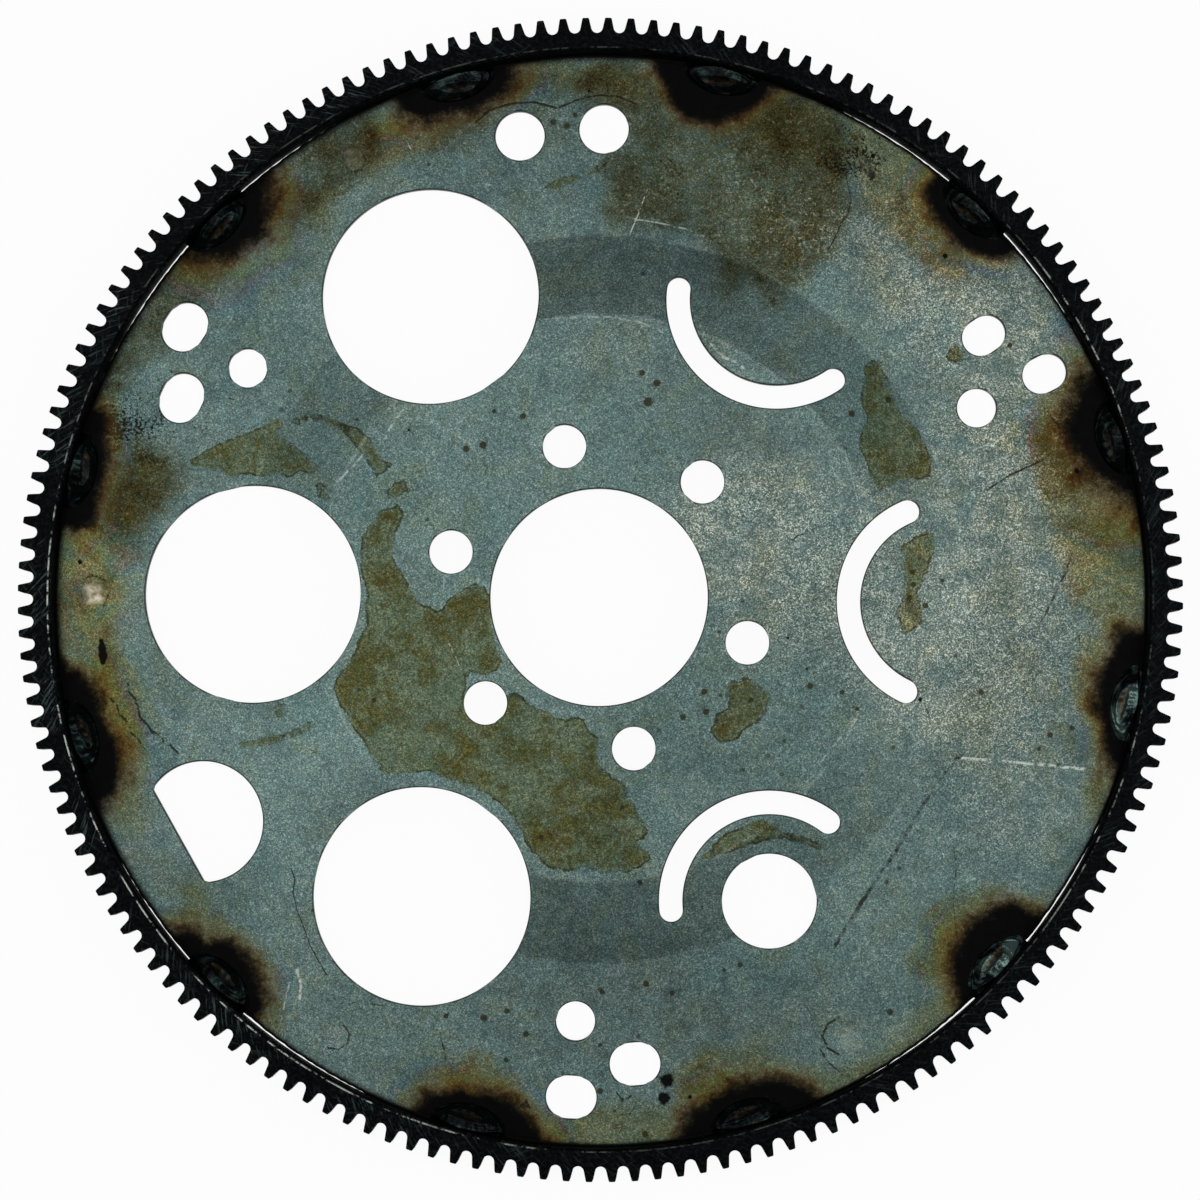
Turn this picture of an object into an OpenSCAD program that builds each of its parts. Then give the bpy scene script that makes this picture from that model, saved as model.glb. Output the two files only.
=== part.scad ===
// Flexplate: a dished, stamped disc with a starter ring gear stitch-welded round its rim.
// Millimetres. Z is the axis of rotation and points to the engine side, which is the side with the welds.
// The origin is on the axis, in the plane of the back faces, on which the part lies.

/* [Ring gear] */
// Number of teeth round the ring
teeth = 160; // [156:1:166]
// Tooth module: pitch diameter over number of teeth
tooth_module = 2.1167; // [2.1:0.0001:2.14]
// Height of a tooth above the pitch circle
tooth_addendum = 0.65; // [0.4:0.05:0.9]
// Depth of a tooth space below the pitch circle
tooth_dedendum = 3.9; // [3.7:0.05:4.2]
// Lean of each tooth flank from the radius, in degrees
flank_angle = 13.3; // [11:0.1:15]
// Radius of the full round at the foot of each tooth space
root_round = 1.7; // [1.5:0.05:1.8]
// Turn of the first tooth from the X axis, in degrees
tooth_phase = -0.2; // [-1.1:0.05:1.1]
// Width of the ring along the axis
ring_w = 11.1; // [10.5:0.1:13]
// Metal between the tooth roots and the bore
ring_rim = 5.15; // [4.8:0.05:6.5]
// Bevel on the front edge of the bore
bore_bevel = 0.85; // [0.5:0.05:1.6]
// Bevel on the back edge of the bore
back_bevel = 0.4; // [0.2:0.1:0.8]
// Bevel on the ends of the tooth tips
tip_bevel = 0.5; // [0.2:0.05:0.8]

/* [Stamped disc] */
// Thickness of the sheet
sheet_t = 2.8; // [2:0.1:3.2]
// Clearance between the edge of the disc and the bore of the ring
ring_fit = 0; // [0:0.02:0.2]
// Rise of the hub flat above the rim flat
dish = 6.5; // [4:0.1:7]
// Radius of the hub flat
hub_flat_r = 81.9; // [78:0.1:84]
// Slope of the cone between hub and rim, in degrees
cone_angle = 15.3; // [13:0.1:22]
// Inside radius of the two bends
bend_r = 5; // [3:0.5:8]
// Depth of the four reliefs in the edge of the disc
relief_depth = 0.6; // [0.3:0.05:0.9]
// Half width of each relief, in degrees
relief_half = 21; // [18:1:30]
// Turn of the first relief from the X axis, in degrees
relief_phase = 48; // [40:1:60]
// Roll of the sheet at the punched edges on the engine side
edge_roll = 0.4; // [0.2:0.05:0.6]
// Roll of the sheet at its outer edge on the engine side
rim_roll = 0.7; // [0.3:0.05:0.9]

/* [Holes in the hub] */
// Diameter of the pilot bore
pilot_d = 63.5; // [58:0.1:66]
// Diameter of the circle of crankshaft bolt holes
crank_circle_d = 90.6; // [88:0.1:98]
// Diameter of a crankshaft bolt hole
crank_hole_d = 12.7; // [11:0.1:14]
// Turn of the sixth-part grid of crankshaft holes, in degrees
crank_phase = 43.66; // [40:0.01:46]
// Shift of the one hole that fixes the way the disc goes on, in degrees
crank_key_shift = 5.2; // [3:0.1:7]

/* [Windows] */
// Diameter of the circle of windows and arc slots
window_circle_d = 203.2; // [200:0.1:205]
// Diameter of the three big windows
window_d = 63.8; // [58:0.1:65]
// Diameter of the small window inside one arc slot
small_window_d = 27.7; // [22:0.1:32]
// Radius of the centre line of an arc slot
arc_slot_r = 28.8; // [26:0.1:30]
// Width of an arc slot
arc_slot_w = 6.8; // [5:0.1:8]
// Sweep of the centre line of an arc slot, in degrees
arc_slot_sweep = 132; // [110:1:150]

/* [Holes in the rim] */
// Diameter of the inner converter bolt circle
conv_inner_d = 247.65; // [245:0.05:250]
// Diameter of the middle converter bolt circle
conv_middle_d = 273.05; // [270:0.05:274]
// Diameter of the outer converter bolt circle
conv_outer_d = 292.1; // [290:0.05:293]
// Diameter of the round holes on the inner circle
conv_round_d = 11.4; // [10:0.1:13]
// Width of the slots that run round the axis
conv_slot_w = 12.5; // [11:0.1:13]
// Width of the slots that run out from the axis
conv_radial_w = 10.7; // [9:0.1:12]
// Stretch of every converter slot beyond a round hole
conv_stretch = 2.3; // [1:0.1:3]
// Turn of the inner and outer converter holes, in degrees
conv_phase = 27.5; // [24:0.1:29]
// Turn of the middle converter holes, in degrees
conv_middle_phase = 35.1; // [34:0.1:38]
// Diameter of the two service holes
service_d = 14.5; // [12:0.1:16]
// Diameter of the circle of the service holes
service_circle_d = 276.6; // [272:0.1:280]
// Turn of the first service hole, in degrees
service_phase = 90.2; // [86:0.1:94]
// Angle between the two service holes
service_step = 10.3; // [9:0.1:12]
// Diameter of the D-shaped window
d_window_d = 35.4; // [30:0.1:38]
// Distance of its centre from the axis
d_window_r = 133.5; // [130:0.1:135]
// Distance of its flat from its centre
d_window_flat = 8.1; // [6:0.1:9]
// Turn of the D-shaped window, in degrees
d_window_phase = 210.1; // [206:0.1:214]

/* [Weld beads] */
// Span of a bead along the joint, before it sinks into the sheet
weld_span = 30; // [26:0.5:34]
// Radius of the fullest part of a bead
weld_r = 7.2; // [6:0.1:8]
// Depth of the bead's own axis below the face of the disc
weld_sink = 3.2; // [2.6:0.1:3.6]
// Distance of the bead's own axis from the bore of the ring
weld_set = 1.5; // [0.8:0.1:2.2]
// Turn of the first bead, in degrees
weld_phase = 17.1; // [14:0.1:20]

/* [Hidden] */
$fn = 96;
fine = 180;
cut = 1;
// Ease of the round ends of an arc slot over its width
end_ease = 0.1;
weld_count = 12;
// How far each hand-made bead lies from an even spacing, in degrees
weld_drift = [0.8, -0.3, 0.5, -1, -1, -0.1, -1.6, -1, -0.3, -0.4, 0.8, 2.4];

pitch_r = teeth * tooth_module / 2;
tip_r = pitch_r + tooth_addendum;
root_r = pitch_r - tooth_dedendum;
bore_r = root_r - ring_rim;
disc_r = bore_r - ring_fit;

// Foot circle of a tooth space, and the point where it meets the flank
foot_y = root_r + root_round;
flank_x = root_round * cos(flank_angle);
flank_y = foot_y - root_round * sin(flank_angle);
mouth_y = tip_r + 2 * cut;
mouth_x = flank_x + (mouth_y - flank_y) * tan(flank_angle);

// Section of the disc: hub flat, bend, cone, bend, rim flat
hub_top = dish + sheet_t;
bend_sum = 2 * bend_r + sheet_t;
cone_run = (dish - bend_sum * (1 - cos(cone_angle))) / sin(cone_angle);
rim_flat_r = hub_flat_r + bend_sum * sin(cone_angle) + cone_run * cos(cone_angle);

// Circle that cuts a relief of the stated depth and width from the edge of the disc
relief_rise = disc_r * (1 - cos(relief_half)) - relief_depth;
relief_off = (2 * disc_r * relief_depth - pow(relief_depth, 2)) / (2 * relief_rise);
relief_r = disc_r - relief_depth + relief_off;

// Arc that turns into a spindle-shaped bead
weld_arc_r = (pow(weld_span / 2, 2) + pow(weld_r, 2)) / (2 * weld_r);

function polar(r, a) = [r * cos(a), r * sin(a)];
function bend(c, r, a0, a1, n = 6) = [for (i = [0:n]) c + polar(r, a0 + (a1 - a0) * i / n)];
function weld_angle(i) = weld_phase + (i - 1) * 360 / weld_count + weld_drift[i - 1];
function weld_name(i) = str("weld_bead_", i < 10 ? "0" : "", i);

// Half section of the stamped disc
module disc_section() {
    hub_c = [hub_flat_r, dish - bend_r];
    rim_c = [rim_flat_r, sheet_t + bend_r];
    polygon(concat(
        [[0, dish], [0, hub_top]],
        bend(hub_c, bend_r + sheet_t, 90, 90 - cone_angle),
        bend(rim_c, bend_r, 270 - cone_angle, 270),
        [[disc_r - rim_roll, sheet_t], [disc_r + cut, sheet_t - rim_roll - cut], [disc_r + cut, 0]],
        bend(rim_c, bend_r + sheet_t, 270, 270 - cone_angle),
        bend(hub_c, bend_r, 90 - cone_angle, 90)
    ));
}

// Outline of the disc: a circle eased by four shallow reliefs
module disc_outline() {
    intersection() {
        circle(disc_r);
        intersection_for (i = [0:3])
            translate(polar(-relief_off, relief_phase + 90 * i))
                circle(relief_r);
    }
}

// Round or stretched hole, punched from the engine side of a flat at height top
module punched(d, top, stretch = 0) {
    through = top + 2 * cut;
    flare = edge_roll + cut;
    for (s = stretch > 0 ? [-1, 1] : [0])
        translate([s * stretch / 2, 0, 0]) {
            translate([0, 0, -cut])
                cylinder(d = d, h = through);
            translate([0, 0, top - edge_roll])
                cylinder(r1 = d / 2, r2 = d / 2 + flare, h = flare);
        }
    if (stretch > 0) {
        translate([-stretch / 2, -d / 2, -cut])
            cube([stretch, d, through]);
        translate([-stretch / 2, 0, top - edge_roll])
            rotate([90, 0, 90])
                linear_extrude(stretch)
                    polygon([[-d / 2, 0], [d / 2, 0], [d / 2 + flare, flare], [-d / 2 - flare, flare]]);
    }
}

// Slot bent round the middle of a window, open towards the rim
module arc_slot() {
    half = arc_slot_sweep / 2;
    reach = 2 * arc_slot_r;
    intersection() {
        difference() {
            circle(arc_slot_r + arc_slot_w / 2);
            circle(arc_slot_r - arc_slot_w / 2);
        }
        polygon([[0, 0], polar(reach, 180 - half), [-reach, 0], polar(reach, 180 + half)]);
    }
    for (s = [-1, 1])
        translate(polar(arc_slot_r, 180 + s * half))
            circle(d = arc_slot_w + end_ease);
}

// Openings that cross the cone and the bends
module windows() {
    for (a = [120, 180, 240])
        rotate(a)
            translate([window_circle_d / 2, 0])
                circle(d = window_d);
    for (a = [-60, 0, 60])
        rotate(a)
            translate([window_circle_d / 2, 0])
                arc_slot();
    rotate(-60)
        translate([window_circle_d / 2, 0])
            circle(d = small_window_d);
    rotate(d_window_phase)
        translate([d_window_r, 0])
            difference() {
                circle(d = d_window_d);
                translate([d_window_flat, -d_window_d])
                    square([d_window_d, 2 * d_window_d]);
            }
}

// Pilot bore and the six crankshaft holes, one of them off the even spacing
module hub_holes() {
    punched(pilot_d, hub_top);
    for (i = [0:5])
        rotate(crank_phase + 60 * i + (i == 0 ? crank_key_shift : 0))
            translate([crank_circle_d / 2, 0, 0])
                punched(crank_hole_d, hub_top);
}

// Three converter bolt circles and the service holes
module rim_holes() {
    for (i = [0:2]) {
        slot_w = i == 0 ? conv_radial_w : conv_slot_w;
        lie = i == 0 ? 0 : 90;
        rotate(conv_phase + 120 * i) {
            translate([conv_inner_d / 2, 0, 0])
                punched(conv_round_d, sheet_t);
            translate([conv_outer_d / 2, 0, 0])
                rotate(lie)
                    punched(slot_w, sheet_t, conv_stretch);
        }
        rotate(conv_middle_phase + 120 * i)
            translate([conv_middle_d / 2, 0, 0])
                rotate(lie)
                    punched(slot_w, sheet_t, conv_stretch);
    }
    for (i = [0:1])
        rotate(service_phase + service_step * i)
            translate([service_circle_d / 2, 0, 0])
                punched(service_d, sheet_t);
}

// Gap between two teeth: straight flanks on a full round foot
module tooth_space() {
    translate([0, foot_y])
        circle(root_round);
    polygon([[-mouth_x, mouth_y], [-flank_x, flank_y], [flank_x, flank_y], [mouth_x, mouth_y]]);
}

module disc() {
    color([0.36, 0.41, 0.43])
        difference() {
            intersection() {
                rotate_extrude()
                    disc_section();
                translate([0, 0, -cut])
                    linear_extrude(hub_top + 2 * cut)
                        disc_outline();
            }
            translate([0, 0, -cut])
                linear_extrude(hub_top + 2 * cut)
                    windows();
            hub_holes();
            rim_holes();
        }
}

module ring_gear() {
    color([0.06, 0.07, 0.08])
        intersection() {
            translate([0, 0, -cut])
                linear_extrude(ring_w + 2 * cut)
                    difference() {
                        circle(tip_r + cut);
                        for (i = [0:teeth - 1])
                            rotate(tooth_phase + (i + 0.5) * 360 / teeth - 90)
                                tooth_space();
                    }
            rotate_extrude()
                polygon([
                    [bore_r + back_bevel, 0],
                    [tip_r - tip_bevel, 0],
                    [tip_r, tip_bevel],
                    [tip_r, ring_w - tip_bevel],
                    [tip_r - tip_bevel, ring_w],
                    [bore_r + bore_bevel, ring_w],
                    [bore_r, ring_w - bore_bevel],
                    [bore_r, back_bevel]
                ]);
        }
}

// Bead i: a spindle laid in the corner between the face of the disc and the bore of the ring
module weld_bead(i) {
    color([0.1, 0.12, 0.12])
        rotate(weld_angle(i))
            intersection() {
                translate([bore_r - weld_set, 0, sheet_t - weld_sink])
                    rotate([90, 0, 0])
                        rotate_extrude($fn = fine)
                            intersection() {
                                translate([weld_r - weld_arc_r, 0])
                                    circle(weld_arc_r, $fn = fine);
                                translate([0, -weld_span])
                                    square([weld_r + cut, 2 * weld_span]);
                            }
                translate([0, 0, sheet_t])
                    cylinder(r = bore_r, h = ring_w, $fn = 4 * fine);
            }
}

disc();
ring_gear();
for (i = [1:weld_count])
    weld_bead(i);
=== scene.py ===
import math

import bpy
import numpy as np
from mathutils import Matrix, Vector
from mathutils.geometry import delaunay_2d_cdt


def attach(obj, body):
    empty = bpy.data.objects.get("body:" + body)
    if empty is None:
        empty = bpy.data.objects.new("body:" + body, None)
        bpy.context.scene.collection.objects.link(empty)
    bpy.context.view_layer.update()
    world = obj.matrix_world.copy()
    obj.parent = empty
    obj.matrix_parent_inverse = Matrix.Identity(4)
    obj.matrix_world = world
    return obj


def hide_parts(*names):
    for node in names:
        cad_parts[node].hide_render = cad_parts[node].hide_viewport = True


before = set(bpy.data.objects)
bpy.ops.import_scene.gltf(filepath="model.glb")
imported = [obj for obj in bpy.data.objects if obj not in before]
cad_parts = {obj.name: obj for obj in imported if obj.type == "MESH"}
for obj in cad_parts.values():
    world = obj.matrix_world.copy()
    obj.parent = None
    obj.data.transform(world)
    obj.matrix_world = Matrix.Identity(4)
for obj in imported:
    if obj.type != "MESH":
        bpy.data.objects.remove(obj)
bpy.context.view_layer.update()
scene = bpy.context.scene
MM = 0.001

# Sizes of the part in millimetres and degrees, as in its source
TEETH, MODULE, ADDENDUM, DEDENDUM = 160, 2.1167, 0.65, 3.9
FLANK, ROOT_ROUND, TOOTH_PHASE = 13.3, 1.7, -0.2
RING_W, RING_RIM, BORE_BEVEL, BACK_BEVEL, TIP_BEVEL = 11.1, 5.15, 0.85, 0.4, 0.5
SHEET, DISH, HUB_R, CONE, BEND = 2.8, 6.5, 81.9, 15.3, 5.0
HOLE_ROLL, RIM_ROLL, BACK_EASE = 0.45, 1.0, 0.15
RELIEF, RELIEF_HALF, RELIEF_PHASE = 0.6, 21.0, 48.0
PILOT_R = 31.75
CRANK_AT, CRANK_PHASE, CRANK_SHIFT, CRANK_R = 45.3, 43.66, 5.2, 6.35
WINDOW_AT, WINDOW_R, SMALL_WINDOW_R = 101.6, 31.9, 13.85
ARC_R, ARC_W, ARC_SWEEP = 28.8, 6.8, 132
D_AT, D_TURN, D_R, D_FLAT, D_EASE = 133.5, 210.1, 17.7, 8.1, 0.9
BOLT_AT, BOLT_TURN, BOLT_R = 123.825, 27.5, 5.7
SLOTS, SLOT_W, WIDE_SLOT_W, SLOT_STRETCH = ((146.05, 27.5), (136.525, 35.1)), 10.7, 12.5, 2.3
SERVICE_AT, SERVICE_TURNS, SERVICE_R = 138.3, (90.2, 100.5), 7.25
WELD_SPAN, WELD_R, WELD_SINK, WELD_SET, WELD_PHASE = 30.0, 7.2, 3.2, 1.5, 17.1
WELD_DRIFT = [0.8, -0.3, 0.5, -1, -1, -0.1, -1.6, -1, -0.3, -0.4, 0.8, 2.4]
SILVERY_WELDS = (10, 11)

PITCH_R = TEETH * MODULE / 2
TIP_R = PITCH_R + ADDENDUM
ROOT_R = PITCH_R - DEDENDUM
BORE_R = ROOT_R - RING_RIM
HUB_TOP = DISH + SHEET
SIN_C, COS_C, TAN_C = (f(math.radians(CONE)) for f in (math.sin, math.cos, math.tan))
BEND_SUM = 2 * BEND + SHEET
CONE_RUN = (DISH - BEND_SUM * (1 - COS_C)) / SIN_C
RIM_R = HUB_R + BEND_SUM * SIN_C + CONE_RUN * COS_C
MID_STEP_R = 95
WELD_ANGLES = [WELD_PHASE + 30 * i + d for i, d in enumerate(WELD_DRIFT)]

# Points of the meshes, and seeds of their random draws
RIM_POINTS, BEAD_LONG, BEAD_ROUND = 720, 97, 29
RIM_SEED, BEAD_SEED = 5, 12
# Steps between points of the disc, on its face, near its rim and along drawn lines, and room at its edges
FACE_STEP, RIM_STEP, FINE_FROM, LINE_STEP = 1.9, 1.3, 138, 0.8
HOLE_ROOM, RIM_ROOM = 0.9, 1.4
# How far the edge of the slits at the ring strays, and how dark the painted shade on the rolled and the back
# edges is
RAGGED, FRONT_EDGE_SHADE, BACK_EDGE_SHADE = (-0.22, 0.04), 1.0, 0.6

# Camera of the photograph: it looks almost straight down from 1.5 m, a little from below and from the right
PHOTO_W, PX = 1200, 0.2935
TILT_X, TILT_Y, TURN = -0.04451617, -0.02419386, 0.75
FOCAL, DISTANCE, AIM, SENSOR = 5107.937, 1500.0, Vector((0.09055, -0.41266, 0.0)), 36.0
CAM_ROT = Matrix.Rotation(TILT_X, 3, "X") @ Matrix.Rotation(TILT_Y, 3, "Y")
PART_ROT = Matrix.Rotation(math.radians(TURN), 3, "Z")
CAM_AXES = PART_ROT @ CAM_ROT.transposed()
CAM_AT = PART_ROT @ (AIM + CAM_ROT.transposed() @ Vector((0, 0, DISTANCE)))


def length(p):
    return np.hypot(*p.T)


def circle(t):
    """Points of the unit circle at angles t in radians."""
    return np.stack([np.cos(t), np.sin(t)], 1)


def polar(r, a):
    return np.array([r * math.cos(math.radians(a)), r * math.sin(math.radians(a))])


def spot(x, y):
    """Point of the disc's face, in millimetres, that shows at pixel x, y of the photograph."""
    ray = CAM_AXES @ Vector((x - PHOTO_W / 2, PHOTO_W / 2 - y, -FOCAL))
    for z in (SHEET, HUB_TOP):
        p = CAM_AT + ray * ((z - CAM_AT.z) / ray.z)
        if math.hypot(p.x, p.y) > MID_STEP_R:
            break
    return np.array([p.x, p.y])


def face(r, a, b):
    """Height at radius r of a face of the disc, which bends with radius a at the hub and b at the rim."""
    r = np.asarray(r, float)
    hub_z, rim_z = DISH - BEND, SHEET + BEND
    out_r, in_r = HUB_R + a * SIN_C, RIM_R - b * SIN_C
    hub_bend = hub_z + np.sqrt(np.maximum(a ** 2 - (r - HUB_R) ** 2, 0))
    rim_bend = rim_z - np.sqrt(np.maximum(b ** 2 - (r - RIM_R) ** 2, 0))
    slope = hub_z + a * COS_C - (r - out_r) * TAN_C
    return np.select([r <= HUB_R, r <= out_r, r <= in_r, r <= RIM_R], [hub_z + a, hub_bend, slope, rim_bend],
                     rim_z - b)


def face_top(r):
    return face(r, BEND + SHEET, BEND)


def face_back(r):
    return face(r, BEND, BEND + SHEET)


# Holes: each is an anticlockwise loop of points and a function of the distance from its edge, below 0 inside
def round_hole(c, r, n):
    loop = c + r * circle(np.linspace(0, 2 * math.pi, n, endpoint=False))
    return loop, lambda p: length(p - c) - r


def stretched_hole(c, r, stretch, way, n):
    u, h = polar(1, way), stretch / 2
    cap = r * circle(np.radians(np.linspace(-90, 90, n // 2) + way))

    def edge(p):
        t = np.clip((p - c) @ u, -h, h)
        return length(p - c - t[:, None] * u) - r
    return np.concatenate([c + u * h + cap, c - u * h - cap]), edge


def arc_hole(c, mid, rc, w, sweep, n):
    half = sweep / 2
    a = np.linspace(mid - half, mid + half, n)
    cap = np.linspace(0, 180, 14)[1:-1]
    ends = [c + polar(rc, mid - half), c + polar(rc, mid + half)]
    loop = [c + polar(rc + w / 2, x) for x in a]
    loop += [ends[1] + polar(w / 2, mid + half + x) for x in cap]
    loop += [c + polar(rc - w / 2, x) for x in a[::-1]]
    loop += [ends[0] + polar(w / 2, mid - half + 180 + x) for x in cap]

    def edge(p):
        q = p - c
        turn = np.degrees(np.arctan2(q[:, 1], q[:, 0])) - mid
        turn = np.abs((turn + 180) % 360 - 180)
        tip = np.minimum(length(p - ends[0]), length(p - ends[1]))
        return np.where(turn <= half, np.abs(length(q) - rc), tip) - w / 2
    return np.array(loop), edge


def d_hole(c, r, flat, way, n):
    u, v = polar(1, way), polar(1, way + 90)
    corner, ease = math.degrees(math.acos(flat / r)), math.degrees(D_EASE / r)
    loop = [c + polar(r, way + x) for x in np.linspace(corner + ease, 360 - corner - ease, n)]
    h = math.sqrt(r * r - flat * flat)

    def ease_corner(p, q, k):
        return [(1 - t) ** 2 * p + 2 * t * (1 - t) * q + t * t * k for t in (0.25, 0.5, 0.75)]
    low, high = c + u * flat - v * h, c + u * flat + v * h
    chord = [low + v * x for x in np.linspace(D_EASE, 2 * h - D_EASE, 16)]
    loop += ease_corner(loop[-1], low, chord[0]) + chord + ease_corner(chord[-1], high, loop[0])
    return np.array(loop), lambda p: np.maximum(length(p - c) - r, (p - c) @ u - flat)


holes = [round_hole(np.zeros(2), PILOT_R, 128)]
for i in range(6):
    a = CRANK_PHASE + 60 * i + (CRANK_SHIFT if i == 0 else 0)
    holes.append(round_hole(polar(CRANK_AT, a), CRANK_R, 44))
for a in (120, 180, 240):
    holes.append(round_hole(polar(WINDOW_AT, a), WINDOW_R, 128))
for a in (-60, 0, 60):
    holes.append(arc_hole(polar(WINDOW_AT, a), a + 180, ARC_R, ARC_W, ARC_SWEEP, 48))
holes.append(round_hole(polar(WINDOW_AT, -60), SMALL_WINDOW_R, 72))
holes.append(d_hole(polar(D_AT, D_TURN), D_R, D_FLAT, D_TURN, 64))
for i in range(3):
    width, lie = (SLOT_W, 0) if i == 0 else (WIDE_SLOT_W, 90)
    holes.append(round_hole(polar(BOLT_AT, BOLT_TURN + 120 * i), BOLT_R, 44))
    for r, turn in SLOTS:
        a = turn + 120 * i
        holes.append(stretched_hole(polar(r, a), width / 2, SLOT_STRETCH, a + lie, 48))
for a in SERVICE_TURNS:
    holes.append(round_hole(polar(SERVICE_AT, a), SERVICE_R, 52))


def hole_edge(p):
    return np.min([edge(p) for _, edge in holes], axis=0)


# Outline of the disc, eased by four shallow reliefs
RELIEF_SAG = BORE_R * (1 - math.cos(math.radians(RELIEF_HALF)))
RELIEF_OFF = (2 * BORE_R * RELIEF - RELIEF ** 2) / (2 * (RELIEF_SAG - RELIEF))
RELIEF_R = BORE_R - RELIEF + RELIEF_OFF


def rim_edge(deg):
    r = np.full_like(deg, BORE_R)
    for i in range(4):
        t = np.radians(deg - RELIEF_PHASE - 90 * i)
        inside = np.maximum(RELIEF_R ** 2 - (RELIEF_OFF * np.sin(t)) ** 2, 0)
        r = np.minimum(r, -RELIEF_OFF * np.cos(t) + np.sqrt(inside))
    return r


def rim_gap(p):
    """Distance of points from the outline of the disc, above 0 inside it."""
    return rim_edge(np.degrees(np.arctan2(p[:, 1], p[:, 0]))) - length(p)


def outward(loop):
    """Direction at each point of an anticlockwise loop that leads out of it."""
    ahead = np.roll(loop, -1, 0) - loop
    ahead /= length(ahead)[:, None]
    n = np.stack([ahead[:, 1], -ahead[:, 0]], 1)
    n = n + np.roll(n, 1, 0)
    return n / length(n)[:, None]


def pull(items, name, width=1, kind=float):
    values = np.zeros(len(items) * width, kind)
    items.foreach_get(name, values)
    return values


def mesh_object(name, verts, faces, attrs=None):
    """Object from points in millimetres, smooth, with normals weighted by area so that flats stay flat."""
    me = bpy.data.meshes.new(name)
    me.from_pydata((np.asarray(verts, float) * MM).tolist(), [], [tuple(int(k) for k in f) for f in faces])
    me.validate()
    me.polygons.foreach_set("use_smooth", np.ones(len(me.polygons), bool))
    me.update()
    weighted = pull(me.polygons, "normal", 3).reshape(-1, 3) * pull(me.polygons, "area")[:, None]
    owner = np.repeat(np.arange(len(me.polygons)), pull(me.polygons, "loop_total", kind=int))
    normals = np.zeros((len(me.vertices), 3))
    np.add.at(normals, pull(me.loops, "vertex_index", kind=int), weighted[owner])
    normals[np.linalg.norm(normals, axis=1) < 1e-20] = (0, 0, 1)
    normals /= np.linalg.norm(normals, axis=1)[:, None]
    me.normals_split_custom_set_from_vertices(normals.tolist())
    for key, values in (attrs or {}).items():
        me.attributes.new(key, "FLOAT", "POINT").data.foreach_set("value", np.asarray(values, np.float32))
    ob = bpy.data.objects.new(name, me)
    scene.collection.objects.link(ob)
    return ob


# Marks on the disc, drawn in pixels of the photograph, as outlines with x and y in turn. Oil stains:
STAINS = [
    [400,505, 401,520, 395,538, 394,552, 398,568, 408,588, 424,604, 437,614, 447,600, 463,588, 482,583,
     491,600, 493,640, 502,664, 486,673, 468,674, 466,700, 486,726, 512,690, 528,700, 548,714, 566,721,
     583,716, 590,730, 601,738, 596,752, 605,770, 625,786, 634,806, 645,824, 653,836, 634,842, 652,858,
     640,868, 627,874, 600,871, 585,866, 570,870, 545,866, 533,852, 522,832, 512,815, 494,800, 474,787,
     452,781, 430,772, 412,772, 393,776, 383,771, 368,750, 352,724, 338,702, 333,688, 346,668, 358,648,
     366,624, 366,592, 360,556, 366,526, 380,512],
    [190,463, 210,448, 250,430, 275,420, 286,421, 276,432, 305,452, 326,470, 300,472, 290,480, 280,474,
     265,477, 250,473, 235,476, 215,468, 200,466],
    [290,420, 305,413, 325,415, 345,425, 360,430, 372,440, 385,460, 396,462, 390,470, 378,478, 370,466,
     358,450, 348,436, 330,425, 310,421, 295,426], [383,490, 400,480, 408,483, 408,493, 398,499, 385,499],
    [315,485, 322,483, 331,496, 330,503, 320,498],
    [727,692, 730,682, 748,676, 760,685, 773,692, 766,712, 745,730, 735,740, 722,743, 710,730, 717,717,
     728,706],
    [865,366, 872,360, 881,363, 888,385, 900,410, 918,432, 926,446, 930,462, 928,478, 908,480, 895,484,
     882,491, 874,486, 866,464, 860,448, 866,420, 861,400],
    [898,548, 915,537, 928,532, 935,540, 931,560, 925,578, 920,592, 923,610, 921,624, 903,634, 899,624,
     894,614, 902,602, 905,575, 904,556],
    [700,860, 712,845, 728,832, 745,825, 765,819, 775,826, 790,830, 805,837, 832,845, 822,849, 805,846,
     775,838, 745,846, 718,856], [541,187, 560,180, 580,173, 595,165, 612,159, 600,172, 580,180, 555,188],
    [274,707, 281,703, 288,707, 287,716, 278,718], [232,746, 252,738, 280,735, 322,719, 300,736, 262,747],
    [945,352, 955,347, 964,353, 960,362, 949,361],
]
# Brown films, with softer edges
FILMS = [
    [600,85, 640,72, 665,80, 690,106, 740,112, 770,95, 800,90, 835,112, 850,150, 840,180, 847,210, 836,240,
     805,270, 775,298, 764,285, 740,265, 733,286, 722,276, 715,245, 680,226, 640,220, 612,210, 622,186,
     608,165, 640,150, 630,118, 605,104],
    [262,188, 285,168, 320,140, 350,122, 372,124, 378,146, 362,172, 338,192, 312,214, 288,224, 262,216,
     250,200], [440,120, 480,112, 520,72, 530,82, 500,112, 465,140, 440,142],
    [185,252, 205,262, 228,275, 200,290, 195,302, 168,322, 160,346, 138,352, 120,372, 104,404, 96,420, 90,400,
     110,345, 150,285],
    [110,442, 132,441, 165,455, 182,466, 168,498, 150,520, 130,550, 112,542, 98,524, 100,480],
    [1034,428, 1058,432, 1080,448, 1094,474, 1072,486, 1050,474, 1040,452],
    [700,106, 735,118, 760,108, 800,100, 830,118, 838,150, 812,165, 770,140, 730,132, 704,126],
    [584,80, 606,64, 622,72, 620,96, 596,102], [746,96, 772,98, 780,114, 760,120, 744,110],
]
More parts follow.
